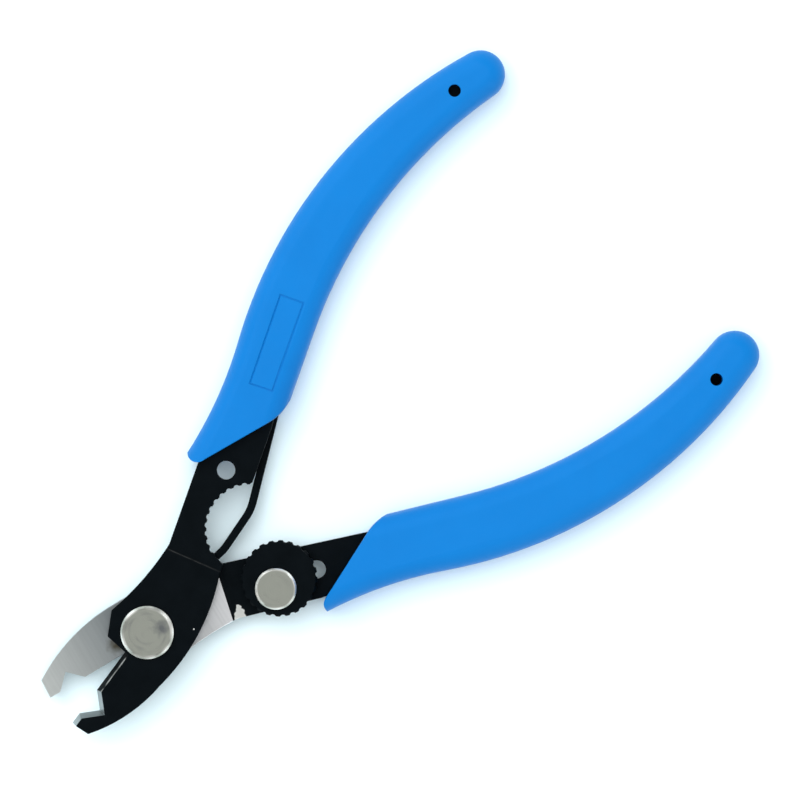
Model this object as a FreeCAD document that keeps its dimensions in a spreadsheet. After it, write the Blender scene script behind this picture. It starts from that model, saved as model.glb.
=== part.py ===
import FreeCAD, Part

import math
import os
from types import SimpleNamespace

import Sketcher
from FreeCAD import Placement, Rotation, Vector

# Adjustable wire stripper, lying open on a bench, in millimetres.
# The origin is where the pivot axis meets the bench, under the pivot rivet's tail.
# +X runs from the pivot to the handles, +Y to the handle of the upper half, +Z up.
# Both halves come from one blank; only the jaws' backs and the necks' inner edges differ a little.
# A half is drawn in its own frame: X from the pivot along the closed tool, Y outwards to the
# half's own handle, Z away from the lap plane. The upper half is turned out by half the opening
# angle. The lower half is turned over as well.

SIZES = {
    # Stack through the lap, and how far the halves stand open
    "opening_angle": 22.4,
    "grip_thickness": 9.0,
    "plate_thickness": 2.6,
    "lap_gap": 0.05,
    "neck_relief": 0.15,
    "running_clearance": 0.03,
    "axial_play": 0.04,
    # Jaw of the blank, measured from the pivot towards the tip
    "jaw_length": 19.7,
    "edge_overlap": 1.1,
    "edge_root": 4.85,
    "tip_land": 2.0,
    "notch_depth": 2.4,
    "tip_width": 3.3,
    "tip_slant": 0.2,
    "bevel_width": 0.9,
    "belly_x": 6.0,
    "upper_back_radius": 27.0,
    "upper_belly_depth": 7.0,
    "upper_belly_radius": 35.7,
    "lower_back_radius": 31.0,
    "lower_belly_depth": 6.75,
    "lower_belly_radius": 50.0,
    # Head and neck of the blank
    "facet_x": 4.5,
    "facet_y": 4.9,
    "crown_x": 0.6,
    "crown_y": 7.0,
    "shoulder_x": 14.9,
    "shoulder_y": 3.9,
    "waist_x": 14.0,
    "waist_y": 5.85,
    "waist_radius": 47.4,
    "neck_back_x": 27.8,
    "neck_back_y": 10.1,
    "mouth_x": 40.0,
    "upper_mouth_y": 3.8,
    "lower_mouth_y": 4.6,
    "step_x": 14.46,
    "step_tilt": 13.0,
    "neck_hole_x": 29.5,
    "neck_hole_y": 5.6,
    "neck_hole_radius": 1.55,
    # Tang inside the grip
    "grip_wall": 3.0,
    "tang_start_x": 48.0,
    "tang_setback": 1.0,
    # Grip moulded over the tang
    "grip_back_x": 76.0,
    "grip_back_y": 21.9,
    "grip_back_radius": 80.0,
    "grip_palm_x": 80.75,
    "grip_palm_y": 11.21,
    "grip_palm_radius": 80.6,
    "grip_nose_x": 107.8,
    "grip_waist_x": 48.0,
    "grip_heel_x": 24.0,
    "grip_heel_drop": 4.44,
    "grip_toe_x": 38.0,
    "grip_toe_y": 1.75,
    "grip_edge_share": 0.73,
    "grip_front_x": 27.4,
    "front_corner_radius": 1.72,
    "front_toe_radius": 9.0,
    "front_x": 39.95,
    "front_y": 4.66,
    "upper_front_slant": 23.5,
    "lower_front_slant": 26.5,
    "grip_hole_setback": 4.9,
    "grip_hole_radius": 1.05,
    # Pivot rivet and its washer
    "pivot_shank_radius": 2.5,
    "pivot_head_radius": 4.43,
    "pivot_head_height": 1.2,
    "pivot_head_chamfer": 0.45,
    "pivot_tail_radius": 3.6,
    "pivot_tail_chamfer": 0.4,
    "pivot_washer_radius": 4.3,
    "pivot_washer_thickness": 0.4,
    # Toothed recess in the upper neck
    "recess_x": 24.09,
    "recess_y": 3.64,
    "recess_radius": 7.5,
    "recess_teeth": 12,
    "recess_lead_angle": 1.8,
    "recess_pitch_angle": 10.9,
    # Eccentric dial on the lower neck
    "dial_axis_x": 22.1,
    "dial_axis_y": 4.81,
    "dial_radius": 6.35,
    "dial_thickness": 2.8,
    "dial_eccentricity": 1.8,
    "dial_setting": 30.0,
    "dial_teeth": 24,
    "dial_tooth_angle": 8.4,
    "dial_edge_chamfer": 0.3,
    "tooth_radius": 0.55,
    "tooth_depth": 0.3,
    "dial_shank_radius": 1.7,
    "dial_head_radius": 3.45,
    "dial_head_height": 1.1,
    "dial_head_chamfer": 0.4,
    "dial_tail_radius": 2.8,
    "dial_tail_height": 0.7,
    "spring_washer_radius": 3.4,
    "spring_washer_thickness": 0.35,
    "spring_washer_dish": 0.35,
    # Return spring, a strip on edge below the upper blade
    "spring_tip_x": 15.75,
    "spring_tip_y": 1.43,
    "spring_thickness": 1.3,
    "spring_width": 2.4,
    "spring_drop": 0.2,
    "spring_curl_length": 2.9,
    "spring_curl_angle": 11.0,
    "spring_tip_length": 7.94,
    "spring_tip_angle": 2.4,
    "spring_root_length": 35.0,
    "spring_root_angle": 22.5,
    "spring_bend_radius": 8.0,
}


class Size:
    """A number together with the sheet formula that gives it."""

    def __init__(self, value, formula):
        self.value = value
        self.formula = formula

    def __add__(self, other):
        other = as_size(other)
        return Size(self.value + other.value, f"({self.formula} + {other.formula})")

    def __sub__(self, other):
        other = as_size(other)
        return Size(self.value - other.value, f"({self.formula} - {other.formula})")

    def __mul__(self, other):
        other = as_size(other)
        return Size(self.value * other.value, f"({self.formula} * {other.formula})")

    def __truediv__(self, other):
        other = as_size(other)
        return Size(self.value / other.value, f"({self.formula} / {other.formula})")

    def __neg__(self):
        return Size(-self.value, f"(-{self.formula})")


def as_size(number):
    if isinstance(number, Size):
        return number
    return Size(float(number), repr(float(number)))


def cosine(angle):
    return Size(math.cos(math.radians(angle.value)), f"cos({angle.formula} * 1 deg)")


def sine(angle):
    return Size(math.sin(math.radians(angle.value)), f"sin({angle.formula} * 1 deg)")


def tangent(angle):
    return Size(math.tan(math.radians(angle.value)), f"tan({angle.formula} * 1 deg)")


def arctangent(slope):
    return Size(math.degrees(math.atan(slope.value)), f"(atan({slope.formula}) / 1 deg)")


def square_root(size):
    return Size(math.sqrt(size.value), f"sqrt({size.formula})")


doc = FreeCAD.newDocument("wire_stripper")
sheet = doc.addObject("Spreadsheet::Sheet", "Sizes")
for row, (alias, value) in enumerate(SIZES.items(), start=1):
    sheet.set(f"A{row}", alias)
    sheet.set(f"B{row}", str(value))
    sheet.setAlias(f"B{row}", alias)
doc.recompute()
size = SimpleNamespace(**{alias: Size(value, f"Sizes.{alias}") for alias, value in SIZES.items()})


# Bodies, sketches and features

def new_body(name):
    body = doc.addObject("PartDesign::Body", name)
    body.Label = name
    return body


def new_sketch(body, name, plane="XY_Plane", x=None, y=None, z=None):
    """Attach a sketch to one of the body's own planes, moved along that plane's axes."""
    sketch = body.newObject("Sketcher::SketchObject", name)
    origin = next(feature for feature in body.Origin.OriginFeatures if feature.Role == plane)
    sketch.AttachmentSupport = [(origin, "")]
    sketch.MapMode = "FlatFace"
    for axis, shift in (("x", x), ("y", y), ("z", z)):
        if shift is not None:
            sketch.setExpression(f"AttachmentOffset.Base.{axis}", shift.formula)
    return sketch


def bind(sketch, constraint, formula):
    index = sketch.addConstraint(constraint)
    sketch.setExpression(f"Constraints[{index}]", formula)


def bind_point(sketch, geometry, end, x, y):
    """Bind a point of a sketch to a place counted from the sketch's origin."""
    bind(sketch, Sketcher.Constraint("DistanceX", geometry, end, x.value), x.formula)
    bind(sketch, Sketcher.Constraint("DistanceY", geometry, end, y.value), y.formula)


def solved(sketch):
    if sketch.solve() != 0:
        raise ValueError(f"{sketch.Name} can't be solved")
    return sketch


def arc_between(start, end, radius):
    """The shorter arc from start to end: to the left where radius is positive, else to the right."""
    middle = (start + end) / 2
    along = end - start
    left = Vector(-along.y, along.x, 0).normalize()
    reach = math.sqrt(radius ** 2 - along.Length ** 2 / 4)
    centre = middle + left * math.copysign(reach, radius)
    first, last = (start, end) if radius > 0 else (end, start)
    begin = math.atan2(first.y - centre.y, first.x - centre.x)
    finish = math.atan2(last.y - centre.y, last.x - centre.x)
    return Part.ArcOfCircle(Part.Circle(centre, Vector(0, 0, 1), abs(radius)), begin, finish)


def add_outline(sketch, corners):
    """Draw a closed outline anticlockwise through corners (x, y) or (x, y, radius).

    A corner with a radius starts a round side, which bulges where the radius is positive.
    """
    points = [Vector(corner[0].value, corner[1].value, 0) for corner in corners]
    ends = []
    for index, corner in enumerate(corners):
        start = points[index]
        end = points[(index + 1) % len(points)]
        if len(corner) == 2:
            geometry = sketch.addGeometry(Part.LineSegment(start, end))
            ends.append((geometry, 1, 2))
        else:
            radius = corner[2]
            geometry = sketch.addGeometry(arc_between(start, end, radius.value))
            ends.append((geometry, 1, 2) if radius.value > 0 else (geometry, 2, 1))
    for index, corner in enumerate(corners):
        geometry, first, last = ends[index]
        following, its_first, its_last = ends[(index + 1) % len(ends)]
        sketch.addConstraint(Sketcher.Constraint("Coincident", geometry, last, following, its_first))
        bind_point(sketch, geometry, first, corner[0], corner[1])
        if len(corner) == 3:
            radius = corner[2] if corner[2].value > 0 else -corner[2]
            bind(sketch, Sketcher.Constraint("Radius", geometry, radius.value), radius.formula)
    return solved(sketch)


def add_circle(sketch, x, y, radius):
    centre = Vector(x.value, y.value, 0)
    geometry = sketch.addGeometry(Part.Circle(centre, Vector(0, 0, 1), radius.value))
    bind_point(sketch, geometry, 3, x, y)
    bind(sketch, Sketcher.Constraint("Radius", geometry, radius.value), radius.formula)
    return solved(sketch)


def pad(body, sketch, length):
    feature = body.newObject("PartDesign::Pad", sketch.Name + "_pad")
    feature.Profile = sketch
    feature.setExpression("Length", length.formula)
    doc.recompute()
    return feature


def pocket(body, sketch, length):
    """Cut from the sketch against its normal, and make sure that something is cut."""
    before = body.Shape.Volume
    feature = body.newObject("PartDesign::Pocket", sketch.Name + "_pocket")
    feature.Profile = sketch
    feature.setExpression("Length", length.formula)
    doc.recompute()
    if body.Shape.Volume >= before:
        raise ValueError(f"{feature.Name} cuts nothing")
    return feature


def polar_pattern(body, feature, sketch, pitch_angle, count):
    """Repeat a feature about the normal through its sketch's origin."""
    pattern = body.newObject("PartDesign::PolarPattern", feature.Name + "_pattern")
    pattern.Originals = [feature]
    pattern.Axis = (sketch, ["N_Axis"])
    pattern.setExpression("Occurrences", count.formula)
    pattern.setExpression("Angle", ((count - 1) * pitch_angle).formula)
    body.Tip = pattern
    doc.recompute()
    return pattern


def revolve(body, corners):
    """Turn a half section, drawn as (radius, height) corners, about the body's Z axis."""
    sketch = add_outline(new_sketch(body, body.Name + "_section", plane="XZ_Plane"), corners)
    feature = body.newObject("PartDesign::Revolution", body.Name + "_turned")
    feature.Profile = sketch
    feature.ReferenceAxis = (sketch, ["V_Axis"])
    feature.Angle = 360
    doc.recompute()
    return feature


def names_at(shapes, kind, points):
    """Names of the faces or edges of a shape that pass through the points."""
    names = []
    for point in points:
        vertex = Part.Vertex(point)
        distances = [shape.distToShape(vertex)[0] for shape in shapes]
        names.append(f"{kind}{distances.index(min(distances)) + 1}")
    return names


# Levels of a half, counted from the lap plane

axis = as_size(0)
lap_face = size.lap_gap / 2
outer_face = lap_face + size.plate_thickness
neck_inner = lap_face + size.neck_relief
neck_outer = outer_face - size.neck_relief
neck_thickness = neck_outer - neck_inner
half_grip = size.grip_thickness / 2
half_opening = size.opening_angle / 2
lap_height = half_grip


def place_upper(body):
    body.Placement = Placement(Vector(), Rotation(Vector(0, 0, 1), half_opening.value))
    body.setExpression("Placement.Base.z", lap_height.formula)
    body.setExpression("Placement.Rotation.Angle", f"{half_opening.formula} * 1 deg")


def place_lower(body):
    """Turn a half over about the line that halves its own swing."""
    quarter = half_opening / 2
    body.Placement = Placement(Vector(), Rotation(Vector(1, 0, 0), 180))
    body.setExpression("Placement.Base.z", lap_height.formula)
    body.setExpression("Placement.Rotation.Axis.x", cosine(quarter).formula)
    body.setExpression("Placement.Rotation.Axis.y", (-sine(quarter)).formula)
    body.setExpression("Placement.Rotation.Angle", "180 deg")


# Outline of the blank, for a blade and for the cavity in its grip

def height_on(centre_x, crown_y, radius, reach, x):
    """Height of an arc at x, where reach is how far it lies outside a crowned arc of that radius."""
    rise = radius + reach
    return crown_y - radius + square_root(rise * rise - (x - centre_x) * (x - centre_x))


def palm_at(x, reach):
    return height_on(size.grip_palm_x, size.grip_palm_y, size.grip_palm_radius, reach, x)


def back_at(x, reach):
    return height_on(size.grip_back_x, size.grip_back_y, size.grip_back_radius, -reach, x)


tang_start_x = size.tang_start_x
tang_end_x = size.grip_nose_x - size.tang_setback
wall = size.grip_wall

edge = size.edge_overlap
notch_end_x = size.jaw_length - size.tip_land
notch_apex_x = notch_end_x - size.notch_depth
notch_start_x = notch_apex_x - size.notch_depth
cutting_corners = [
    (-size.edge_root, edge),
    (-notch_start_x, edge),
    (-notch_apex_x, edge - size.notch_depth),
    (-notch_end_x, edge),
    (-size.jaw_length, edge),
]


def blank_corners(back_radius, belly_depth, belly_radius, mouth_y):
    return cutting_corners + [
        (size.tip_slant - size.jaw_length, edge - size.tip_width, back_radius),
        (-size.belly_x, -belly_depth, belly_radius),
        (size.shoulder_x, -size.shoulder_y),
        (size.mouth_x, mouth_y),
        (tang_start_x, palm_at(tang_start_x, wall), -(size.grip_palm_radius + wall)),
        (tang_end_x, palm_at(tang_end_x, wall)),
        (tang_end_x, back_at(tang_end_x, wall), size.grip_back_radius - wall),
        (tang_start_x, back_at(tang_start_x, wall)),
        (size.neck_back_x, size.neck_back_y),
        (size.waist_x, size.waist_y, -size.waist_radius),
        (-size.crown_x, size.crown_y),
        (-size.facet_x, size.facet_y),
    ]


upper_corners = blank_corners(
    size.upper_back_radius, size.upper_belly_depth, size.upper_belly_radius, size.upper_mouth_y)
lower_corners = blank_corners(
    size.lower_back_radius, size.lower_belly_depth, size.lower_belly_radius, size.lower_mouth_y)


def make_blade(name, corners, pivot_bore):
    """Stamp the blank, bevel its cutting edge and relieve the neck behind the lap."""
    body = new_body(name)
    blank = add_outline(new_sketch(body, name + "_blank", z=lap_face), corners)
    blank_pad = pad(body, blank, size.plate_thickness)

    middle_z = (lap_face + outer_face).value / 2
    places = [Vector(x.value, y.value, middle_z) for x, y in cutting_corners]
    middles = [(start + end) / 2 for start, end in zip(places, places[1:])]
    bevel = body.newObject("PartDesign::Draft", name + "_bevel")
    bevel.Base = (blank_pad, names_at(blank_pad.Shape.Faces, "Face", middles))
    lap = [Vector(0, 0, lap_face.value)]
    bevel.NeutralPlane = (blank_pad, names_at(blank_pad.Shape.Faces, "Face", lap))
    bevel.setExpression("Angle", arctangent(size.bevel_width / size.plate_thickness).formula)
    doc.recompute()

    below = -(size.shoulder_y * 2)
    above = size.grip_back_y + wall
    beyond = tang_end_x + wall
    relief_corners = [
        (size.step_x - below * tangent(size.step_tilt), below),
        (beyond, below),
        (beyond, above),
        (size.step_x - above * tangent(size.step_tilt), above),
    ]
    for side, level in (("outer", outer_face), ("inner", neck_inner)):
        relief = add_outline(new_sketch(body, f"{name}_{side}_relief", z=level), relief_corners)
        pocket(body, relief, size.neck_relief)

    bores = new_sketch(body, name + "_bores", z=outer_face)
    add_circle(bores, axis, axis, pivot_bore)
    add_circle(bores, size.neck_hole_x, size.neck_hole_y, size.neck_hole_radius)
    pocket(body, bores, size.plate_thickness)
    return body


upper_blade = make_blade("upper_blade", upper_corners, size.pivot_shank_radius)
place_upper(upper_blade)

# Recess in the inner edge of the upper neck, cut with the same round teeth as the dial's rim
recess_place = {"x": size.recess_x, "y": -size.recess_y, "z": outer_face}
recess = new_sketch(upper_blade, "recess", **recess_place)
add_circle(recess, axis, axis, size.recess_radius)
pocket(upper_blade, recess, size.plate_thickness)
recess_reach = size.recess_radius + size.tooth_depth - size.tooth_radius
recess_tooth = new_sketch(upper_blade, "recess_tooth", **recess_place)
edge_angle = arctangent((size.upper_mouth_y + size.shoulder_y) / (size.mouth_x - size.shoulder_x))
sunk_x = (size.recess_x - size.shoulder_x) * sine(edge_angle)
sunk_y = (size.shoulder_y - size.recess_y) * cosine(edge_angle)
sunk = sunk_x - sunk_y
half_gap = square_root(size.recess_radius * size.recess_radius - sunk * sunk)
first = edge_angle + arctangent(sunk / half_gap) - size.recess_lead_angle
add_circle(recess_tooth, recess_reach * cosine(first), recess_reach * sine(first), size.tooth_radius)
recess_cut = pocket(upper_blade, recess_tooth, size.plate_thickness)
polar_pattern(upper_blade, recess_cut, recess_tooth, size.recess_pitch_angle, size.recess_teeth)

lower_bore = size.pivot_shank_radius + size.running_clearance
lower_blade = make_blade("lower_blade", lower_corners, lower_bore)
place_lower(lower_blade)
dial_bore = new_sketch(lower_blade, "dial_bore", z=outer_face)
add_circle(dial_bore, size.dial_axis_x, size.dial_axis_y, size.dial_shank_radius)
pocket(lower_blade, dial_bore, size.plate_thickness)


# Return spring, bent from strip: a tip curled clear of the lower blade, a leg that lies along the
# lower blade's shoulder and a root leg that the upper grip holds

def spring_outline():
    """Both faces of the strip, anticlockwise from the near side of its tip."""
    half = size.spring_thickness / 2
    legs = (
        (size.spring_curl_length, -size.spring_curl_angle),
        (size.spring_tip_length, size.spring_tip_angle),
        (size.spring_root_length, size.spring_root_angle),
    )
    setbacks = [size.spring_bend_radius * tangent((after[1] - before[1]) / 2)
                for before, after in zip(legs, legs[1:])]

    def face(side, bend_radius):
        offset = half * side
        x, y = size.spring_tip_x, -size.spring_tip_y
        corners = []
        for number, (length, angle) in enumerate(legs):
            run_in = setbacks[number - 1] if number > 0 else axis
            run_out = length - setbacks[number] if number < len(setbacks) else length
            for run in (run_in, run_out):
                corner_x = x + run * cosine(angle) - offset * sine(angle)
                corner_y = y + run * sine(angle) + offset * cosine(angle)
                corners.append((corner_x, corner_y))
            x = x + length * cosine(angle)
            y = y + length * sine(angle)
        # Each bend starts at the second corner of one leg and ends at the first of the next
        bend_starts = range(1, len(corners) - 1, 2) if side < 0 else range(2, len(corners), 2)
        for start in bend_starts:
            corners[start] += (bend_radius,)
        return corners

    near = face(-1, size.spring_bend_radius + half)
    far = face(1, half - size.spring_bend_radius)
    return near + far[::-1]


spring_top = -size.spring_drop
return_spring = new_body("return_spring")
place_upper(return_spring)
strip = add_outline(new_sketch(return_spring, "strip", z=spring_top - size.spring_width), spring_outline())
pad(return_spring, strip, size.spring_width)


# Grips

def grip_outline(sketch):
    """Draw the grip's plan: toe, palm arc, nose, back arc and a hollow to the heel, all tangent."""
    palm_y = size.grip_palm_y - size.grip_palm_radius
    back_y = size.grip_back_y - size.grip_back_radius
    heel_y = back_at(size.grip_waist_x, axis) - size.grip_heel_drop
    palm = Vector(size.grip_palm_x.value, palm_y.value, 0)
    back = Vector(size.grip_back_x.value, back_y.value, 0)
    palm_radius = size.grip_palm_radius.value
    back_radius = size.grip_back_radius.value
    toe = Vector(size.grip_toe_x.value, size.grip_toe_y.value, 0)
    heel = Vector(size.grip_heel_x.value, heel_y.value, 0)

    def on_arc(centre, radius, x):
        return Vector(x, centre.y + math.sqrt(radius ** 2 - (x - centre.x) ** 2), 0)

    nose_x = size.grip_nose_x.value
    toe_end = on_arc(palm, palm_radius, (toe.x + palm.x) / 2)
    nose_start = on_arc(palm, palm_radius, nose_x)
    nose_end = on_arc(back, back_radius, nose_x)
    waist = on_arc(back, back_radius, size.grip_waist_x.value)
    half_nose = (nose_end - nose_start).Length / 2
    shapes = [
        Part.LineSegment(toe, toe_end),
        arc_between(toe_end, nose_start, -palm_radius),
        arc_between(nose_start, nose_end, math.hypot(half_nose, wall.value)),
        arc_between(nose_end, waist, back_radius),
        arc_between(waist, heel, -back_radius),
        Part.LineSegment(heel, toe),
    ]
    toe_side, palm_side, nose_side, back_side, hollow, front = [sketch.addGeometry(s) for s in shapes]
    for first_side, first_end, next_side, next_end in (
        (toe_side, 2, palm_side, 2),
        (palm_side, 1, nose_side, 1),
        (nose_side, 2, back_side, 1),
        (back_side, 2, hollow, 2),
    ):
        sketch.addConstraint(Sketcher.Constraint("Tangent", first_side, first_end, next_side, next_end))
    sketch.addConstraint(Sketcher.Constraint("Coincident", hollow, 1, front, 1))
    sketch.addConstraint(Sketcher.Constraint("Coincident", front, 2, toe_side, 1))
    bind_point(sketch, toe_side, 1, size.grip_toe_x, size.grip_toe_y)
    bind_point(sketch, hollow, 1, size.grip_heel_x, heel_y)
    bind_point(sketch, palm_side, 3, size.grip_palm_x, palm_y)
    bind_point(sketch, back_side, 3, size.grip_back_x, back_y)
    bind(sketch, Sketcher.Constraint("Radius", palm_side, palm_radius), size.grip_palm_radius.formula)
    bind(sketch, Sketcher.Constraint("Radius", back_side, back_radius), size.grip_back_radius.formula)
    bind(sketch, Sketcher.Constraint("DistanceX", nose_side, 3, nose_x), size.grip_nose_x.formula)
    bind(sketch, Sketcher.Constraint("DistanceX", back_side, 2, waist.x), size.grip_waist_x.formula)
    solved(sketch)
    return [sketch.Geometry[side] for side in (toe_side, palm_side, nose_side, back_side, hollow)]


def front_cut_corners(slant):
    """Region in front of the grip's slanted mouth, which is rounded off at its toe and its back."""
    reach = size.grip_thickness
    toe_radius = size.front_toe_radius
    toe_x = size.front_x + toe_radius * sine(slant)
    toe_y = size.front_y + toe_radius * cosine(slant)
    radius = size.front_corner_radius
    corner_x = size.grip_front_x + radius
    corner_y = size.front_y + (radius - (corner_x - size.front_x) * sine(slant)) / cosine(slant)
    # Directions, from their centres, in which the round ends run out of the grip's sides
    toe_end = as_size(-85)
    corner_end = as_size(130)
    enter_x = toe_x + toe_radius * cosine(toe_end)
    enter_y = toe_y + toe_radius * sine(toe_end)
    leave_x = corner_x + radius * cosine(corner_end)
    leave_y = corner_y + radius * sine(corner_end)
    far_x = size.grip_heel_x - reach
    low_y = enter_y - reach
    high_y = leave_y - reach * cosine(corner_end)
    return [
        (far_x, low_y),
        (enter_x - reach * sine(toe_end), low_y),
        (enter_x - reach * sine(toe_end), enter_y + reach * cosine(toe_end)),
        (enter_x, enter_y, -toe_radius),
        (size.front_x, size.front_y),
        (corner_x - radius * sine(slant), corner_y - radius * cosine(slant), -radius),
        (leave_x, leave_y),
        (leave_x + reach * sine(corner_end), high_y),
        (far_x, high_y),
    ]


def make_grip(name, corners, slant):
    """Mould a grip over a tang: rounded edges, slanted mouth, a hole to each side of the tang."""
    body = new_body(name)
    plan = new_sketch(body, name + "_plan", z=-half_grip)
    sides = grip_outline(plan)
    grip_pad = pad(body, plan, size.grip_thickness)
    middles = [side.value((side.FirstParameter + side.LastParameter) / 2) for side in sides]
    levels = (Vector(0, 0, -half_grip.value), Vector(0, 0, half_grip.value))
    rims = [middle + level for middle in middles for level in levels]
    rounding = body.newObject("PartDesign::Fillet", name + "_rounding")
    rounding.Base = (grip_pad, names_at(grip_pad.Shape.Edges, "Edge", rims))
    half_nose = (back_at(size.grip_nose_x, axis) - palm_at(size.grip_nose_x, axis)) / 2
    rounding.setExpression("Radius", (half_nose * size.grip_edge_share).formula)
    doc.recompute()

    front = add_outline(new_sketch(body, name + "_front", z=half_grip), front_cut_corners(slant))
    pocket(body, front, size.grip_thickness)
    cavity = add_outline(new_sketch(body, name + "_cavity", z=neck_outer), corners)
    pocket(body, cavity, neck_thickness)
    hole = new_sketch(body, name + "_hole", z=half_grip)
    hole_x = size.grip_nose_x - size.grip_hole_setback
    hole_y = (palm_at(hole_x, axis) + back_at(hole_x, axis)) / 2
    add_circle(hole, hole_x, hole_y, size.grip_hole_radius)
    pocket(body, hole, size.grip_thickness)
    return body


upper_grip = make_grip("upper_grip", upper_corners, size.upper_front_slant)
place_upper(upper_grip)
spring_slot = add_outline(new_sketch(upper_grip, "spring_slot", z=spring_top), spring_outline())
pocket(upper_grip, spring_slot, size.spring_width)

lower_grip = make_grip("lower_grip", lower_corners, size.lower_front_slant)
place_lower(lower_grip)

# Pivot rivet: head on the upper blade, shank through both blades, tail formed over the washer

bench = as_size(0)
upper_face = lap_height + outer_face
lower_face = lap_height - outer_face
washer_top = lower_face - size.axial_play
washer_bottom = washer_top - size.pivot_washer_thickness
head_top = upper_face + size.pivot_head_height
pivot_rivet = new_body("pivot_rivet")
revolve(pivot_rivet, [
    (axis, bench),
    (size.pivot_tail_radius - size.pivot_tail_chamfer, bench),
    (size.pivot_tail_radius, size.pivot_tail_chamfer),
    (size.pivot_tail_radius, washer_bottom),
    (size.pivot_shank_radius, washer_bottom),
    (size.pivot_shank_radius, upper_face),
    (size.pivot_head_radius, upper_face),
    (size.pivot_head_radius, head_top - size.pivot_head_chamfer),
    (size.pivot_head_radius - size.pivot_head_chamfer, head_top),
    (axis, head_top),
])

pivot_washer = new_body("pivot_washer")
revolve(pivot_washer, [
    (size.pivot_shank_radius, washer_bottom),
    (size.pivot_washer_radius, washer_bottom),
    (size.pivot_washer_radius, washer_top),
    (size.pivot_shank_radius, washer_top),
])


# Dial and its rivet, on an axis through the lower neck

def place_on_dial_axis(body):
    x = size.dial_axis_x * cosine(half_opening) - size.dial_axis_y * sine(half_opening)
    y = -(size.dial_axis_x * sine(half_opening)) - size.dial_axis_y * cosine(half_opening)
    body.setExpression("Placement.Base.x", x.formula)
    body.setExpression("Placement.Base.y", y.formula)


dial_bottom = lap_height - neck_inner + size.axial_play
dial_top = dial_bottom + size.dial_thickness
dial_centre = {
    "x": size.dial_eccentricity * cosine(size.dial_setting),
    "y": size.dial_eccentricity * sine(size.dial_setting),
}
adjusting_dial = new_body("adjusting_dial")
disc = new_sketch(adjusting_dial, "disc", z=dial_bottom, **dial_centre)
add_circle(disc, axis, axis, size.dial_radius)
disc_pad = pad(adjusting_dial, disc, size.dial_thickness)
rim = Vector(dial_centre["x"].value - size.dial_radius.value, dial_centre["y"].value, 0)
rims = [rim + Vector(0, 0, level.value) for level in (dial_bottom, dial_top)]
disc_chamfer = adjusting_dial.newObject("PartDesign::Chamfer", "disc_chamfer")
disc_chamfer.Base = (disc_pad, names_at(disc_pad.Shape.Edges, "Edge", rims))
disc_chamfer.setExpression("Size", size.dial_edge_chamfer.formula)
doc.recompute()
tooth = new_sketch(adjusting_dial, "dial_tooth", z=dial_top, **dial_centre)
tooth_reach = size.dial_radius + size.tooth_radius - size.tooth_depth
tooth_x = tooth_reach * cosine(size.dial_tooth_angle)
tooth_y = tooth_reach * sine(size.dial_tooth_angle)
add_circle(tooth, tooth_x, tooth_y, size.tooth_radius)
tooth_cut = pocket(adjusting_dial, tooth, size.dial_thickness)
dial_pitch_angle = as_size(360) / size.dial_teeth
polar_pattern(adjusting_dial, tooth_cut, tooth, dial_pitch_angle, size.dial_teeth)
shank_bore = new_sketch(adjusting_dial, "shank_bore", z=dial_top)
add_circle(shank_bore, axis, axis, size.dial_shank_radius + size.running_clearance)
pocket(adjusting_dial, shank_bore, size.dial_thickness)
adjusting_dial.Tip = adjusting_dial.Group[-1]
place_on_dial_axis(adjusting_dial)

neck_underside = lap_height - neck_outer
washer_low = neck_underside - size.spring_washer_dish - size.spring_washer_thickness
dial_head_bottom = dial_top + size.axial_play
dial_head_top = dial_head_bottom + size.dial_head_height
dial_rivet = new_body("dial_rivet")
revolve(dial_rivet, [
    (axis, washer_low - size.dial_tail_height),
    (size.dial_tail_radius, washer_low - size.dial_tail_height),
    (size.dial_tail_radius, washer_low),
    (size.dial_shank_radius, washer_low),
    (size.dial_shank_radius, dial_head_bottom),
    (size.dial_head_radius, dial_head_bottom),
    (size.dial_head_radius, dial_head_top - size.dial_head_chamfer),
    (size.dial_head_radius - size.dial_head_chamfer, dial_head_top),
    (axis, dial_head_top),
])
place_on_dial_axis(dial_rivet)

dial_spring_washer = new_body("dial_spring_washer")
revolve(dial_spring_washer, [
    (size.dial_shank_radius, washer_low),
    (size.spring_washer_radius, neck_underside - size.spring_washer_thickness),
    (size.spring_washer_radius, neck_underside),
    (size.dial_shank_radius, washer_low + size.spring_washer_thickness),
])
place_on_dial_axis(dial_spring_washer)

doc.recompute()
for item in doc.Objects:
    if "Invalid" in item.State or "Error" in item.State:
        raise ValueError(f"{item.Name} can't be built")

bodies = [item for item in doc.Objects if item.TypeId == "PartDesign::Body"]
for body in bodies:
    if body.Shape.isNull() or not body.Shape.isValid() or len(body.Shape.Solids) != 1:
        raise ValueError(f"{body.Label} isn't one valid solid")

os.makedirs("parts", exist_ok=True)
for body in bodies:
    body.Shape.exportStep(f"parts/{body.Label}.step")
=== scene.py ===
import math

import bmesh
import bpy
from mathutils import Matrix, Vector


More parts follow.
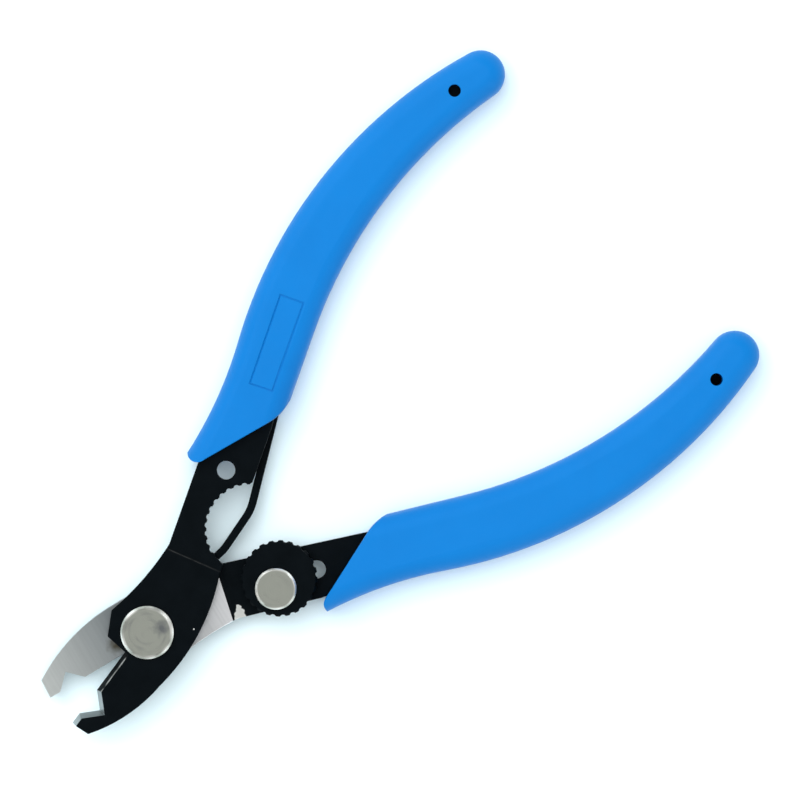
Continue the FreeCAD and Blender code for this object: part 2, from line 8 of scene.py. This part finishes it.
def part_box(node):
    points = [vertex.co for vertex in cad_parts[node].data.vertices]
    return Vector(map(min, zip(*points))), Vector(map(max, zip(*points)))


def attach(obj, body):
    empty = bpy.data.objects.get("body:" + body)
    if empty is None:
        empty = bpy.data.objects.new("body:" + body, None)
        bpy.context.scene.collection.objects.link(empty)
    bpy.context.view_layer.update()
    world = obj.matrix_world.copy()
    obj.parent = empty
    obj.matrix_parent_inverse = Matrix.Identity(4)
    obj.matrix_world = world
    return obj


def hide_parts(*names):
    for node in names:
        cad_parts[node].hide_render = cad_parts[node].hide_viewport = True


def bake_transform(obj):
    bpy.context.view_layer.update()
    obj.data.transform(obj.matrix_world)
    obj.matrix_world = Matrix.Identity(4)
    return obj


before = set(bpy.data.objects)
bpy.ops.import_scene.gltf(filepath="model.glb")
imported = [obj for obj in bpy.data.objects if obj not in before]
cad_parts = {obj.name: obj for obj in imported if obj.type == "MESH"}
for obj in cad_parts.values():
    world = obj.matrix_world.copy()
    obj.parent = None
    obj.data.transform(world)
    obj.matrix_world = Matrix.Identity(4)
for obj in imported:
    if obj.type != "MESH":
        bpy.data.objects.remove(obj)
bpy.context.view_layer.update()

# Upper blade
# Blanked from carbon steel plate, ground flat where it laps the other blade, then blackened.
# Its cutting edge and wire notch are bevelled last, so there the metal is bare.

mm = 0.001
half_opening = math.radians(11.2)
lap_height = 4.5 * mm
upper_turn = (0, 0, half_opening)

# Places on a blade count from the pivot: along the closed tool, out to the handle, away from the lap
plate_mm = 2.6
jaw_mm = 19.7
neck_hole_mm = (29.5, 5.6, 0)
blade_round_mm = 0.12
# The bevel at the jaw's root is bare steel painted black as the shade it shows, with a broken silver
# streak along its top that is partly rubbed wear and partly a painted highlight of its edge
root_start_mm = 4.85
root_end_mm = 12.9
root_streak_mm = (0.72 * plate_mm, 0.85 * plate_mm)
root_gap_mm = 1.2
# The lap ends at a step across the neck, marked by a faint broken bright line that is partly worn oxide
# and partly a painted highlight of the step's edge
step_mm = 14.46
step_tilt = math.radians(13)
step_line_mm = (0.02, 0.16)
step_shine = 0.04
step_gap_mm = 2.0
chip_mm = (5.06, -5.9)
chip_reach_mm = 0.15

silver_steel = "#E9ECE9"
# The lap's tones are partly the steel's own and partly painted light: a painted reflection brightens its
# ends, and painted shade darkens it a little in front of the pivot, by the upper blade's head
shaded_place_mm = 4.0
lap_tones_with_painted_light = ("#E0E6E4", "#949C9F", "#FBFDFF")
# The bevels are the same ground steel as the lap, painted darker as shade
bevel_shaded_tones = ("#9A9E9E", "#868A8A", "#868A8A")


def linear(code):
    """Turn an sRGB hex colour into linear light."""
    channels = [int(code[i:i + 2], 16) / 255 for i in (1, 3, 5)]
    return [c / 12.92 if c <= 0.04045 else ((c + 0.055) / 1.055) ** 2.4 for c in channels] + [1]


def add_node(tree, kind, inputs=(), **settings):
    """Add a node with its settings, and fill or link its inputs by name or number."""
    node = tree.nodes.new(kind)
    for name, value in settings.items():
        setattr(node, name, value)
    for name, value in dict(inputs).items():
        if isinstance(value, bpy.types.NodeSocket):
            tree.links.new(value, node.inputs[name])
        else:
            node.inputs[name].default_value = value
    return node


# A mix node repeats its sockets' names for each kind of value, so those for colour go by number
share_in = 0
first_in = 6
second_in = 7
colour_out = 2


def half_frame(turn):
    """Frame of one half: from the pivot along the closed tool, out to its handle, away from the lap."""
    turned = Matrix.Rotation(turn[2], 4, "Z") @ Matrix.Rotation(turn[0], 4, "X")
    return Matrix.Translation((0, 0, lap_height)) @ turned


def new_material(name, turn=(0, 0, 0), centre=(0, 0, lap_height)):
    """Start a material, with a place on the piece that counts in millimetres from its own centre."""
    material = bpy.data.materials.new(name)
    material.use_nodes = True
    tree = material.node_tree
    coordinates = add_node(tree, "ShaderNodeTexCoord")
    place = add_node(tree, "ShaderNodeMapping", {
        "Vector": coordinates.outputs["Object"],
        "Location": centre,
        "Rotation": turn,
        "Scale": (mm, mm, mm),
    }, vector_type="TEXTURE")
    return material, tree, tree.nodes["Principled BSDF"], place.outputs["Vector"]


def patches(tree, place, size_mm, low, high, detail=3):
    """A cloudy pattern with patches of a real size, running from low to high."""
    noise = add_node(tree, "ShaderNodeTexNoise", {
        "Vector": place, "Scale": 1 / size_mm, "Detail": detail,
    })
    # Noise seldom leaves the stretch from 0.3 to 0.7, so that is spread over the levels asked for
    levels = add_node(tree, "ShaderNodeMapRange", {
        "Value": noise.outputs["Fac"], "From Min": 0.3, "From Max": 0.7, "To Min": low, "To Max": high,
    })
    return levels.outputs["Result"]


def spot(tree, place, centre_mm, reach_mm, ragged_mm=0.0, grain_mm=0.5, core=0.8):
    """A round mark on a half's face, 1 in its core and 0 outside, with as ragged an edge as asked."""
    flat = add_node(tree, "ShaderNodeVectorMath", {0: place, 1: (1, 1, 0)}, operation="MULTIPLY")
    away = add_node(tree, "ShaderNodeVectorMath", {
        0: flat.outputs["Vector"], 1: (*centre_mm, 0),
    }, operation="DISTANCE")
    rough = patches(tree, place, grain_mm, -ragged_mm, ragged_mm, detail=1)
    shaken = add_node(tree, "ShaderNodeMath", {0: away.outputs["Value"], 1: rough}, operation="ADD")
    inside = add_node(tree, "ShaderNodeMapRange", {
        "Value": shaken.outputs["Value"],
        "From Min": reach_mm * core, "From Max": reach_mm, "To Min": 1.0, "To Max": 0.0,
    })
    return inside.outputs["Result"]


def blackened_steel(name, turn, wear_and_glint=None):
    """Black oxide on blanked steel: near black, faintly blue, satin, with the plate's fine grain.

    Where the function given says so, silver steel shows through the oxide: worn metal, and in places a
    painted highlight.
    """
    cloud_mm = 2.5
    dull_mm = 0.8
    # The grain of rolled plate is about 0.1 mm, and is drawn at 0.3 mm to show in the render
    grain_mm = 0.3
    material, tree, shader, place = new_material(name, turn)
    black = add_node(tree, "ShaderNodeMix", {
        share_in: patches(tree, place, cloud_mm, 0, 1),
        first_in: linear("#010508"),
        second_in: linear("#03080C"),
    }, data_type="RGBA")
    colour = black.outputs[colour_out]
    grain = add_node(tree, "ShaderNodeTexNoise", {"Vector": place, "Scale": 1 / grain_mm, "Detail": 4})
    bump = add_node(tree, "ShaderNodeBump", {
        "Height": grain.outputs["Fac"], "Strength": 0.25, "Distance": 0.03 * mm,
    })
    if wear_and_glint:
        # The silver shown here is worn oxide, and in places a painted highlight
        bare = wear_and_glint(tree, place)
        tree.links.new(bare, shader.inputs["Metallic"])
        part_silver = add_node(tree, "ShaderNodeMix", {
            share_in: bare, first_in: colour, second_in: linear(silver_steel),
        }, data_type="RGBA")
        colour = part_silver.outputs[colour_out]
    tree.links.new(colour, shader.inputs["Base Color"])
    tree.links.new(bump.outputs["Normal"], shader.inputs["Normal"])
    tree.links.new(patches(tree, place, dull_mm, 0.42, 0.56), shader.inputs["Roughness"])
    shader.inputs["Specular IOR Level"].default_value = 0.06
    return material


def ground_steel(name, turn, tones, stain_and_shade=None):
    """Ground carbon steel with marks across it from the wheel, in tones at the tip, pivot and lap that
    also paint highlight and shade on it.
    """
    # The wheel's marks are about 0.05 mm apart, and are drawn at 0.2 mm to show in the render
    mark_mm = (0.2, 9, 9)
    marks_in_a_streak = 2.5
    dull_mm = 1.5
    material, tree, shader, place = new_material(name, turn)
    split = add_node(tree, "ShaderNodeSeparateXYZ", {"Vector": place})
    along = add_node(tree, "ShaderNodeMapRange", {
        "Value": split.outputs["X"], "From Min": -jaw_mm, "From Max": step_mm,
    })
    tone = add_node(tree, "ShaderNodeValToRGB", {"Fac": along.outputs["Result"]})
    tone.color_ramp.elements.new((jaw_mm - shaded_place_mm) / (jaw_mm + step_mm))
    for stop, code in zip(tone.color_ramp.elements, tones):
        stop.color = linear(code)
    colour = tone.outputs["Color"]
    if stain_and_shade:
        # The stain is also painted shade beside the upper blade's head
        stained_and_shaded = add_node(tree, "ShaderNodeMix", {
            share_in: stain_and_shade(tree, place), first_in: colour, second_in: linear("#55503F"),
        }, data_type="RGBA")
        colour = stained_and_shaded.outputs[colour_out]
    drawn = add_node(tree, "ShaderNodeMapping", {
        "Vector": place, "Scale": mark_mm,
    }, vector_type="TEXTURE")
    marks = add_node(tree, "ShaderNodeTexNoise", {
        "Vector": drawn.outputs["Vector"], "Scale": 1, "Detail": 2,
    })
    bump = add_node(tree, "ShaderNodeBump", {
        "Height": marks.outputs["Fac"], "Strength": 0.2, "Distance": 0.02 * mm,
    })
    streaked = add_node(tree, "ShaderNodeMix", {
        share_in: patches(tree, drawn.outputs["Vector"], marks_in_a_streak, 0, 0.12, detail=1),
        first_in: colour,
        second_in: linear("#7E8487"),
    }, data_type="RGBA")
    tree.links.new(streaked.outputs[colour_out], shader.inputs["Base Color"])
    tree.links.new(bump.outputs["Normal"], shader.inputs["Normal"])
    tree.links.new(patches(tree, place, dull_mm, 0.3, 0.4), shader.inputs["Roughness"])
    shader.inputs["Metallic"].default_value = 1
    return material


def upper_wear_and_glint(tree, place):
    """Where the upper blade shows silver: a faint line along the step of the neck, partly worn oxide and
    partly a painted highlight, and one small chip.
    """
    across = add_node(tree, "ShaderNodeVectorMath", {
        0: place, 1: (math.cos(step_tilt), math.sin(step_tilt), 0),
    }, operation="DOT_PRODUCT")
    off = add_node(tree, "ShaderNodeMath", {
        0: across.outputs["Value"], 1: step_mm * math.cos(step_tilt),
    }, operation="SUBTRACT")
    away = add_node(tree, "ShaderNodeMath", {0: off.outputs["Value"]}, operation="ABSOLUTE")
    line = add_node(tree, "ShaderNodeMapRange", {
        "Value": away.outputs["Value"],
        "From Min": step_line_mm[0], "From Max": step_line_mm[1], "To Min": step_shine, "To Max": 0.0,
    })
    broken = add_node(tree, "ShaderNodeMath", {
        0: line.outputs["Result"], 1: patches(tree, place, step_gap_mm, 0, 1),
    }, operation="MULTIPLY")
    chip = spot(tree, place, chip_mm, chip_reach_mm)
    both = add_node(tree, "ShaderNodeMath", {0: broken.outputs["Value"], 1: chip}, operation="MAXIMUM")
    return both.outputs["Value"]


def root_wear_and_highlight(tree, place):
    """A broken silver streak along the top of the bevel at the jaw's root, partly where wires have rubbed
    it and partly a painted highlight of its edge.
    """
    split = add_node(tree, "ShaderNodeSeparateXYZ", {"Vector": place})
    streak = add_node(tree, "ShaderNodeMapRange", {
        "Value": split.outputs["Z"], "From Min": root_streak_mm[0], "From Max": root_streak_mm[1],
    })
    broken = patches(tree, place, root_gap_mm, -0.3, 0.8)
    kept = add_node(tree, "ShaderNodeMath", {
        0: streak.outputs["Result"], 1: broken,
    }, operation="MULTIPLY", use_clamp=True)
    return kept.outputs["Value"]


same_place = 0.001 * mm
same_plane = math.radians(0.5)
sharp_from = math.radians(35)
smooth_below = math.radians(30)


def cut_through(bm, parts, point, normal):
    """Cut parts of a mesh along a plane, and give back the edges of the cut."""
    cut = bmesh.ops.bisect_plane(bm, geom=parts, dist=same_place, plane_co=point, plane_no=normal)
    return [part for part in cut["geom_cut"] if isinstance(part, bmesh.types.BMEdge)]


def soft_edged(node, round_mm, seams, finish_of=None):
    """Copy a CAD node, break its sharp edges as tumbling does, and sort its faces by finish.

    Seams are planes through its holes, so that each flat face becomes polygons with no hole in them.
    """
    bm = bmesh.new()
    bm.from_mesh(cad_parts[node].data)
    bmesh.ops.remove_doubles(bm, verts=bm.verts, dist=same_place)
    for point, normal in seams:
        for edge in cut_through(bm, bm.verts[:] + bm.edges[:] + bm.faces[:], point, normal):
            edge.seam = True
    bmesh.ops.dissolve_limit(
        bm, angle_limit=same_plane, verts=bm.verts, edges=bm.edges, delimit={"SEAM"},
    )
    bm.normal_update()

    def has_room(edge):
        widths = [face.calc_area() / edge.calc_length() for face in edge.link_faces]
        return edge.calc_length() > round_mm * mm and min(widths) > 2 * round_mm * mm

    if round_mm > 0:
        sharp = [edge for edge in bm.edges if edge.calc_face_angle(0) > sharp_from and has_room(edge)]
        bmesh.ops.bevel(
            bm, geom=sharp, offset=round_mm * mm, affect="EDGES", segments=2, profile=0.5, material=-1,
        )
    # A rounding may bulge by some micrometres, and is kept within the height of its piece
    lowest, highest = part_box(node)
    for vert in bm.verts:
        vert.co.z = min(max(vert.co.z, lowest[2]), highest[2])
    bm.normal_update()
    for face in bm.faces:
        face.material_index = finish_of(face) if finish_of else 0
    return bm


def finished(bm, name, materials, stands_for):
    """Make the piece, smooth between its sharp edges, in place of its CAD node."""
    mesh = bpy.data.meshes.new(name)
    bm.to_mesh(mesh)
    bm.free()
    for material in materials:
        mesh.materials.append(material)
    mesh.shade_smooth()
    mesh.set_sharp_from_angle(angle=smooth_below)
    piece = bpy.data.objects.new(name, mesh)
    bpy.context.scene.collection.objects.link(piece)
    piece.modifiers.new("flat_lands", "WEIGHTED_NORMAL").keep_sharp = True
    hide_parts(stands_for)
    return piece


def blade_finish(turn):
    """Sort a blade's faces: 0 blackened, 1 ground lap, 2 bevel at the jaw's root, 3 other bevels.

    A face's lean is how far it points away from the lap: -1 on the lap and 1 on the outer face.
    It faces the other jaw from 0, along the jaw, to 1, straight across.
    """
    lap_lean = -0.3
    lap_mm = 0.15
    jaw_bevel_lean = (0.3, 0.36)
    notch_bevel_lean = (0.2, 0.55)
    root_bevel_faces = 0.9
    notch_bevel_faces = 0.3
    to_half = half_frame(turn).inverted()

    def finish_of(face):
        middle = to_half @ face.calc_center_median() / mm
        facing = to_half.to_3x3() @ face.normal
        if facing.z < lap_lean and middle.z < lap_mm:
            return 1
        if middle.x < -root_start_mm and jaw_bevel_lean[0] < facing.z < jaw_bevel_lean[1]:
            at_root = middle.x > -root_end_mm and facing.y > root_bevel_faces
            return 2 if at_root else 3
        past_root = middle.x < -root_end_mm and facing.y > notch_bevel_faces
        if past_root and notch_bevel_lean[0] < facing.z < notch_bevel_lean[1]:
            return 3
        return 0

    return finish_of


def blade_seams(turn):
    """Planes across a blade, through its pivot and its neck hole."""
    along = half_frame(turn).col[0].to_3d()
    return [(half_frame(turn) @ (Vector(centre) * mm), along) for centre in ((0, 0, 0), neck_hole_mm)]


upper_blade = finished(
    soft_edged("upper_blade", blade_round_mm, blade_seams(upper_turn), blade_finish(upper_turn)),
    "upper_blade_plate",
    [
        blackened_steel("upper_blade_oxide", upper_turn, upper_wear_and_glint),
        ground_steel("upper_blade_ground", upper_turn, lap_tones_with_painted_light),
        # The root bevel is painted black as shade, with a silver streak that is partly painted highlight
        blackened_steel("upper_blade_root_bevel_shade", upper_turn, root_wear_and_highlight),
        ground_steel("upper_blade_bevel", upper_turn, bevel_shaded_tones),
    ],
    "upper_blade",
)
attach(upper_blade, "upper_half")

# Lower blade
# The same blank turned over, so its ground lap and the inside of its jaw face up and stay bare.
# Its neck is blackened, with a splash of bare metal where the oxide has flaked off beside the lap.

lower_turn = (math.pi, 0, -half_opening)
flake_mm = (14.62, 5.61)
flake_point_mm = (14.96, 4.46)
flake_depth_mm = (0.25, 0.5)
stain_mm = (-5.6, -0.9)
dial_axis_mm = (22.1, 4.81, 0)
dial_centre = half_frame(lower_turn) @ (Vector(dial_axis_mm) * mm)
sideways = Vector((0, 1, 0))
dial_seam = (dial_centre, sideways)


def lower_wear(tree, place):
    """A flake of bare metal on the neck, ragged and drawn out to a point, and only at its face."""
    flake = spot(tree, place, flake_mm, reach_mm=1.0, ragged_mm=0.3, grain_mm=0.9)
    point = spot(tree, place, flake_point_mm, reach_mm=0.5, ragged_mm=0.2, grain_mm=0.6)
    both = add_node(tree, "ShaderNodeMath", {0: flake, 1: point}, operation="MAXIMUM")
    split = add_node(tree, "ShaderNodeSeparateXYZ", {"Vector": place})
    face = add_node(tree, "ShaderNodeMapRange", {
        "Value": split.outputs["Z"],
        "From Min": flake_depth_mm[0], "From Max": flake_depth_mm[1], "To Min": 1.0, "To Max": 0.0,
    })
    kept = add_node(tree, "ShaderNodeMath", {
        0: both.outputs["Value"], 1: face.outputs["Result"],
    }, operation="MULTIPLY")
    return kept.outputs["Value"]


def lap_stain_and_shade(tree, place):
    """Brown oil that has dried beside the upper blade's head, thinning out from it, its dark core by the
    head also painting the head's shade.
    """
    return spot(tree, place, stain_mm, reach_mm=1.9, ragged_mm=0.3, grain_mm=1.0, core=0.1)


lower_seams = blade_seams(lower_turn) + [dial_seam]
lower_blade = finished(
    soft_edged("lower_blade", blade_round_mm, lower_seams, blade_finish(lower_turn)),
    "lower_blade_plate",
    [
        blackened_steel("lower_blade_oxide", lower_turn, lower_wear),
        ground_steel("lower_blade_ground", lower_turn, lap_tones_with_painted_light, lap_stain_and_shade),
        # The root bevel is painted black as shade, with a silver streak that is partly painted highlight
        blackened_steel("lower_blade_root_bevel_shade", lower_turn, root_wear_and_highlight),
        ground_steel("lower_blade_bevel", lower_turn, bevel_shaded_tones),
    ],
    "lower_blade",
)
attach(lower_blade, "lower_half")

# Pivot rivet and its washer
# Turned from mild steel, with a broad flat head on the upper blade and a bright painted highlight on the
# rim round it.
# Its tail is closed over a thin washer under the lower blade, so that blade turns on its shank.


def turned_steel(name, centre, rim_mm, smeared, smudge_mm=None):
    """Turned mild steel: warm grey metal with fine rings from the tool, and a painted highlight on its
    rim that glints in patches.

    Handling leaves more or fewer smears on it, and a darker smudge where one is given.
    """
    # The tool's feed is about 0.05 mm a turn, and is drawn at 0.4 mm to show in the render
    ring_mm = 0.4
    rim_blur_mm = 0.1
    smear_mm = 0.9
    glint_mm = 0.6
    dull_mm = 1.2
    material, tree, shader, place = new_material(name, centre=(*centre, lap_height))
    flat = add_node(tree, "ShaderNodeVectorMath", {0: place, 1: (1, 1, 0)}, operation="MULTIPLY")
    out = add_node(tree, "ShaderNodeVectorMath", {0: flat.outputs["Vector"]}, operation="LENGTH")
    angle = add_node(tree, "ShaderNodeMath", {
        0: out.outputs["Value"], 1: math.tau / ring_mm,
    }, operation="MULTIPLY")
    rings = add_node(tree, "ShaderNodeMath", {0: angle.outputs["Value"]}, operation="SINE")
    bump = add_node(tree, "ShaderNodeBump", {
        "Height": rings.outputs["Value"], "Strength": 0.12, "Distance": 0.01 * mm,
    })
    # Smears lie round the centre, so they change slowly round it and quickly out from it
    around = add_node(tree, "ShaderNodeVectorMath", {
        0: flat.outputs["Vector"], "Scale": 0.25,
    }, operation="SCALE")
    outward = add_node(tree, "ShaderNodeCombineXYZ", {"Z": out.outputs["Value"]})
    smear_place = add_node(tree, "ShaderNodeVectorMath", {
        0: around.outputs["Vector"], 1: outward.outputs["Vector"],
    }, operation="ADD")
    smear = patches(tree, smear_place.outputs["Vector"], smear_mm, -smeared, smeared, detail=1)
    if smudge_mm:
        smudge = spot(tree, place, smudge_mm, reach_mm=1.7, ragged_mm=0.3, grain_mm=0.8, core=0.1)
        darker = add_node(tree, "ShaderNodeMath", {0: smear, 1: smudge}, operation="MAXIMUM")
        smear = darker.outputs["Value"]
    face = add_node(tree, "ShaderNodeMix", {
        share_in: smear, first_in: linear("#B3B7AD"), second_in: linear("#7E8284"),
    }, data_type="RGBA")
    # The rim is painted with a bright highlight that glints in patches
    rim_highlight = add_node(tree, "ShaderNodeMix", {
        share_in: patches(tree, around.outputs["Vector"], glint_mm, 0, 1, detail=0),
        first_in: linear("#A6AAA2"),
        second_in: linear("#FAFBF6"),
    }, data_type="RGBA")
    rim = add_node(tree, "ShaderNodeMapRange", {
        "Value": out.outputs["Value"], "From Min": rim_mm - rim_blur_mm, "From Max": rim_mm + rim_blur_mm,
    })
    head = add_node(tree, "ShaderNodeMix", {
        share_in: rim.outputs["Result"],
        first_in: face.outputs[colour_out],
        second_in: rim_highlight.outputs[colour_out],
    }, data_type="RGBA")
    tree.links.new(head.outputs[colour_out], shader.inputs["Base Color"])
    tree.links.new(bump.outputs["Normal"], shader.inputs["Normal"])
    tree.links.new(patches(tree, place, dull_mm, 0.26, 0.38), shader.inputs["Roughness"])
    shader.inputs["Metallic"].default_value = 1
    return material


# A tumbled rounding would blur the bright rims, so turned pieces and the dial keep their solids' edges
turned_round_mm = 0
pivot_seam = (Vector((0, 0, 0)), sideways)
pivot_rim_mm = 3.85
pivot_smears = 0.4
pivot_smudge_mm = (2.4, -1.1)
pivot_steel = turned_steel("pivot_turned_steel", (0, 0), pivot_rim_mm, pivot_smears, pivot_smudge_mm)
pivot_rivet = finished(
    soft_edged("pivot_rivet", turned_round_mm, [pivot_seam]),
    "pivot_rivet_turned", [pivot_steel], "pivot_rivet",
)
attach(pivot_rivet, "upper_half")
pivot_washer = finished(
    soft_edged("pivot_washer", turned_round_mm, [pivot_seam]),
    "pivot_washer_disc", [pivot_steel], "pivot_washer",
)
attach(pivot_washer, "upper_half")

# Adjusting dial
# A blackened steel disc with a scalloped rim, held on the lower neck by its own rivet. It is bored
# off its centre, so that turning it moves the rim in or out and sets how far the jaws close.

adjusting_dial = finished(
    soft_edged("adjusting_dial", turned_round_mm, [dial_seam]),
    "adjusting_dial_disc",
    [blackened_steel("dial_oxide", (0, 0, 0))],
    "adjusting_dial",
)
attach(adjusting_dial, "dial")

# Dial rivet and its spring washer
# A plain turned rivet through the lower neck. The dished spring washer between the neck and its
# tail gives the friction that keeps the dial where it is set.

dial_rim_mm = 3.05
dial_smears = 0.12
dial_steel = turned_steel("dial_turned_steel", dial_centre.xy, dial_rim_mm, dial_smears)
dial_rivet = finished(
    soft_edged("dial_rivet", turned_round_mm, [dial_seam]),
    "dial_rivet_turned", [dial_steel], "dial_rivet",
)
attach(dial_rivet, "lower_half")
dial_spring_washer = finished(
    soft_edged("dial_spring_washer", turned_round_mm, [dial_seam]),
    "dial_spring_washer_dish",
    [blackened_steel("spring_washer_oxide", (0, 0, 0))],
    "dial_spring_washer",
)
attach(dial_spring_washer, "lower_half")

# Return spring
# A strip of spring steel, blued, held in the upper grip. It is bent once to lie along the lower neck
# and its tip is curled, so that it slides there and the strip bends as the handles close.

bend_root_mm = (36, 2.3)
bend_tip_mm = (16.5, -1.6)
bend_cuts = 24
strip_round_mm = 0.12

strip = soft_edged("return_spring", strip_round_mm, [])
bend_root = half_frame(upper_turn) @ (Vector((*bend_root_mm, 0)) * mm)
bend_tip = half_frame(upper_turn) @ (Vector((*bend_tip_mm, 0)) * mm)
for cut in range(1, bend_cuts):
    along = bend_root.lerp(bend_tip, cut / bend_cuts)
    cut_through(strip, strip.verts[:] + strip.edges[:] + strip.faces[:], along, bend_tip - bend_root)
return_spring = finished(
    strip,
    "return_spring_strip",
    [blackened_steel("spring_blueing", upper_turn)],
    "return_spring",
)
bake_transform(return_spring)

# Grips
# Vinyl moulded over the tangs of the blades, with rounded sides and a small hole near the end.
# The upper one has a rectangle for a label, with a groove round it, and it is left bare.

grip_round_mm = 0.2
end_hole_mm = (102.9, 12.67, 0)
slot_heights_mm = (4.0, 5.0)

label_mm = (51.55, 11.4, 0)
label_size_mm = (15.9, 4.4)
label_tilt = math.radians(17.5)
label_groove_mm = 0.45
label_draft_mm = 0.1
label_depth_mm = 0.22
level_from = 0.999


def blue_vinyl():
    """Moulded vinyl: strong blue, satin, with the fine grain of the mould."""
    cloud_mm = 9
    dull_mm = 1.5
    # The mould's grain is about 0.1 mm, and is drawn at 0.35 mm to show in the render
    grain_mm = 0.35
    material, tree, shader, place = new_material("blue_vinyl")
    blue = add_node(tree, "ShaderNodeMix", {
        share_in: patches(tree, place, cloud_mm, 0, 1),
        first_in: linear("#006DB8"),
        second_in: linear("#0070BC"),
    }, data_type="RGBA")
    grain = add_node(tree, "ShaderNodeTexNoise", {"Vector": place, "Scale": 1 / grain_mm, "Detail": 3})
    bump = add_node(tree, "ShaderNodeBump", {
        "Height": grain.outputs["Fac"], "Strength": 0.12, "Distance": 0.02 * mm,
    })
    tree.links.new(blue.outputs[colour_out], shader.inputs["Base Color"])
    tree.links.new(bump.outputs["Normal"], shader.inputs["Normal"])
    tree.links.new(patches(tree, place, dull_mm, 0.36, 0.46), shader.inputs["Roughness"])
    shader.inputs["IOR"].default_value = 1.5
    shader.inputs["Specular IOR Level"].default_value = 0.15
    return material


def grip_seams(turn):
    """Planes through a grip's end hole and through the mouths of its tang and spring slots."""
    end_hole = half_frame(turn) @ (Vector(end_hole_mm) * mm)
    level = Vector((0, 0, 1))
    slots = [(level * height * mm, level) for height in slot_heights_mm]
    return [(end_hole, half_frame(turn).col[0].to_3d())] + slots


vinyl = blue_vinyl()
upper_moulding = soft_edged("upper_grip", grip_round_mm, grip_seams(upper_turn))
label_frame = half_frame(upper_turn) @ Matrix.Translation(Vector(label_mm) * mm)
label_frame = label_frame @ Matrix.Rotation(label_tilt, 4, "Z")
for axis, length_mm in enumerate(label_size_mm):
    across = label_frame.col[axis].to_3d()
    for side in (-1, 1):
        land = [face for face in upper_moulding.faces if face.normal.z > level_from]
        parts = {part for face in land for part in (*face.verts, *face.edges, face)}
        rim = label_frame.translation + across * side * length_mm / 2 * mm
        cut_through(upper_moulding, list(parts), rim, across)
upper_moulding.normal_update()


def in_label(face):
    """Whether a face lies wholly inside the label's rectangle."""
    middle = label_frame.inverted() @ face.calc_center_median() / mm
    return face.normal.z > level_from and all(abs(middle[i]) < label_size_mm[i] / 2 for i in range(2))


plate = [face for face in upper_moulding.faces if in_label(face)]
groove = bmesh.ops.inset_region(upper_moulding, faces=plate, thickness=label_groove_mm * mm)["faces"]
bmesh.ops.inset_region(
    upper_moulding, faces=groove, thickness=label_draft_mm * mm, depth=-label_depth_mm * mm,
)
upper_grip = finished(upper_moulding, "upper_grip_moulding", [vinyl], "upper_grip")
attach(upper_grip, "upper_half")
lower_grip = finished(
    soft_edged("lower_grip", grip_round_mm, grip_seams(lower_turn)),
    "lower_grip_moulding", [vinyl], "lower_grip",
)
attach(lower_grip, "lower_half")

# Floor, light and camera
# The tool lies on a white sweep, lit by three soft boxes and a pale room, and the camera looks
# straight down at it from far off.

camera_turn = math.radians(42.2)
view_centre = Vector((57.2, 0.4, 7)) * mm
view_width = 133.3 * mm
camera_height = 0.9
sensor_mm = 36
floor_reach = 4
horizon_glow = 1.8
overhead_glow = 0.65
glow_height = 0.3

floor_mesh = bpy.data.meshes.new("floor")
floor_bm = bmesh.new()
bmesh.ops.create_grid(floor_bm, x_segments=1, y_segments=1, size=floor_reach)
floor_bm.to_mesh(floor_mesh)
floor_bm.free()
floor = bpy.data.objects.new("floor", floor_mesh)
bpy.context.scene.collection.objects.link(floor)
white_sweep = bpy.data.materials.new("white_sweep")
white_sweep.use_nodes = True
sweep_shader = white_sweep.node_tree.nodes["Principled BSDF"]
sweep_shader.inputs["Base Color"].default_value = linear("#E6F9FF")
sweep_shader.inputs["Roughness"].default_value = 0.9
sweep_shader.inputs["Specular IOR Level"].default_value = 0.1
floor_mesh.materials.append(white_sweep)

world = bpy.data.worlds.new("pale_room")
world.use_nodes = True
room = world.node_tree
room_direction = add_node(room, "ShaderNodeTexCoord")
room_split = add_node(room, "ShaderNodeSeparateXYZ", {"Vector": room_direction.outputs["Generated"]})
room_level = add_node(room, "ShaderNodeMapRange", {
    "Value": room_split.outputs["Z"],
    "From Max": glow_height, "To Min": horizon_glow, "To Max": overhead_glow,
})
room.links.new(room_level.outputs["Result"], room.nodes["Background"].inputs["Strength"])
room.nodes["Background"].inputs["Color"].default_value = linear("#FFFFFF")
bpy.context.scene.world = world

# Each soft box has its place and width in metres, its watts, and whether metal mirrors it
for name, place, width, watts, mirrored in (
    ("top_box", (0.05, 0.3, 1.1), 1.2, 13.0, False),
    ("key_box", (0.05, 0.75, 0.6), 0.7, 1.5, True),
    ("fill_box", (0.05, -0.75, 0.6), 0.7, 1.2, True),
):
    box = bpy.data.lights.new(name, "AREA")
    box.size = width
    box.energy = watts
    lamp = bpy.data.objects.new(name, box)
    lamp.location = place
    lamp.visible_glossy = mirrored
    lamp.rotation_euler = (view_centre - Vector(place)).to_track_quat("-Z", "Y").to_euler()
    bpy.context.scene.collection.objects.link(lamp)

lens = bpy.data.cameras.new("camera")
lens.sensor_width = sensor_mm
lens.lens = sensor_mm * camera_height / view_width
lens.clip_end = 20
camera = bpy.data.objects.new("camera", lens)
camera.location = view_centre + Vector((0, 0, camera_height))
camera.rotation_euler = (0, 0, -camera_turn)
bpy.context.scene.collection.objects.link(camera)
bpy.context.scene.camera = camera
bpy.context.scene.view_settings.view_transform = "Standard"
